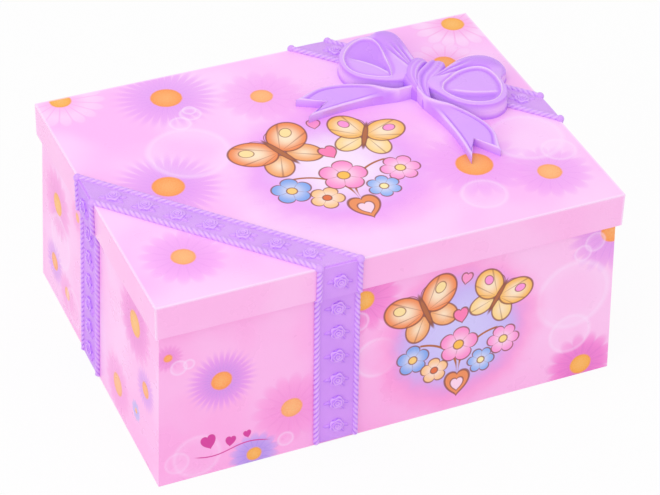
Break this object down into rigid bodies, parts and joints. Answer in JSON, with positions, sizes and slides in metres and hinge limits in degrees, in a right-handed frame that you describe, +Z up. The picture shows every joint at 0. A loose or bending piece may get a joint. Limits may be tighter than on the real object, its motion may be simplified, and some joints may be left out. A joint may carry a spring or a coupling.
{
  "type": "ballerina jewellery box",
  "caption": "Musical jewellery box with a hinged lid, ribbon bands and a bow, a turning ballerina, a mirror, a compartment tray and a wind-up comb movement.",
  "frame": {"origin": "centre of the base's underside, on the surface the box stands on", "axes": "+X to the right along the box's width, +Y towards the hinges and the winding key, +Z up"},
  "size_m": [0.1954, 0.1579, 0.0934],
  "materials": {
    "base_pink": "printed, satin",
    "lid_pink": "printed, satin",
    "tray_pink": "matte",
    "lavender": "satin",
    "velvet": "flock",
    "pearl": "pearl",
    "skin": "satin",
    "net": "sheer",
    "mirror": "silvered",
    "steel": "satin",
    "nickel": "plated",
    "zinc": "cast",
    "brass": "satin"
  },
  "bodies": {
    "box": {"base_shell": "base_pink", "bottom_cover": "tray_pink", "cover_screws": "steel", "base_ribbon_front": "lavender", "base_ribbon_left": "lavender", "base_ribbon_back": "lavender", "base_ribbon_right": "lavender", "deck_tray": "tray_pink", "ring_cushion": "velvet", "spindle_bush": "brass", "hinge_pins": "steel", "bedplate": "zinc", "movement_screws": "steel", "music_comb": "steel", "comb_screws": "steel", "cylinder_bearings": "brass", "spindle_bracket": "brass", "governor_frame": "brass", "ratchet_click": "steel", "plunger_spring": "steel"},
    "lid": {"lid_shell": "lid_pink", "lid_ribbon_front": "lavender", "lid_ribbon_back": "lavender", "bow": "lavender", "mirror_glass": "mirror", "mirror_frame": "lavender"},
    "key": {"winding_key": "nickel", "winding_arbor": "steel", "ratchet_wheel": "brass"},
    "barrel": {"spring_barrel": "brass", "barrel_cap": "brass", "mainspring": "steel"},
    "cylinder": {"pinned_cylinder": "brass", "cylinder_arbor": "steel", "drive_pinion": "brass", "governor_drive_wheel": "brass", "dancer_crown_wheel": "brass"},
    "governor": {"governor_shaft": "steel", "governor_pinion": "brass", "worm_wheel": "brass"},
    "air_brake": {"worm": "brass", "fly": "steel"},
    "dancer": {"spindle": "steel", "spindle_pinion": "brass", "turntable": "pearl", "ballerina": "skin", "tutu": "net"},
    "plunger": {"stop_plunger": "steel"}
  },
  "joints": [
    {"name": "lid_hinge", "type": "hinge", "parent": "box", "child": "lid", "pos_m": [0, 0.07129, 0.0677], "axis": [-1, 0, 0], "range_deg": [0, 100]},
    {"name": "key_wind", "type": "hinge", "parent": "box", "child": "key", "pos_m": [-0.04832, 0.07, 0.013], "axis": [0, 1, 0], "continuous": true},
    {"name": "cylinder_turn", "type": "hinge", "parent": "box", "child": "cylinder", "pos_m": [-0.02, 0.04499, 0.013], "axis": [1, 0, 0], "continuous": true},
    {"name": "barrel_turn", "type": "hinge", "parent": "box", "child": "barrel", "pos_m": [-0.04832, 0.05, 0.013], "axis": [0, 1, 0], "continuous": true},
    {"name": "governor_turn", "type": "hinge", "parent": "box", "child": "governor", "pos_m": [-0.03332, 0.04898, 0.02173], "axis": [1, 0, 0], "continuous": true},
    {"name": "fly_turn", "type": "hinge", "parent": "box", "child": "air_brake", "pos_m": [-0.03332, 0.04898, 0.02843], "axis": [0, 1, 0], "continuous": true},
    {"name": "dancer_turn", "type": "hinge", "parent": "box", "child": "dancer", "pos_m": [0, 0.04499, 0.04], "axis": [0, 0, 1], "continuous": true},
    {"name": "plunger_slide", "type": "slide", "parent": "box", "child": "plunger", "axis": [0, 0, 1], "range_m": [0, 0.005], "deforming": ["plunger_spring"]}
  ],
  "couplings": [
    {"joint": "barrel_turn", "follows": "cylinder_turn", "ratio": -0.33333},
    {"joint": "governor_turn", "follows": "cylinder_turn", "ratio": -2},
    {"joint": "fly_turn", "follows": "cylinder_turn", "ratio": -24},
    {"joint": "dancer_turn", "follows": "cylinder_turn", "ratio": 2},
    {"joint": "plunger_slide", "follows": "lid_hinge", "m_per_rad": 0.0028648}
  ]
}
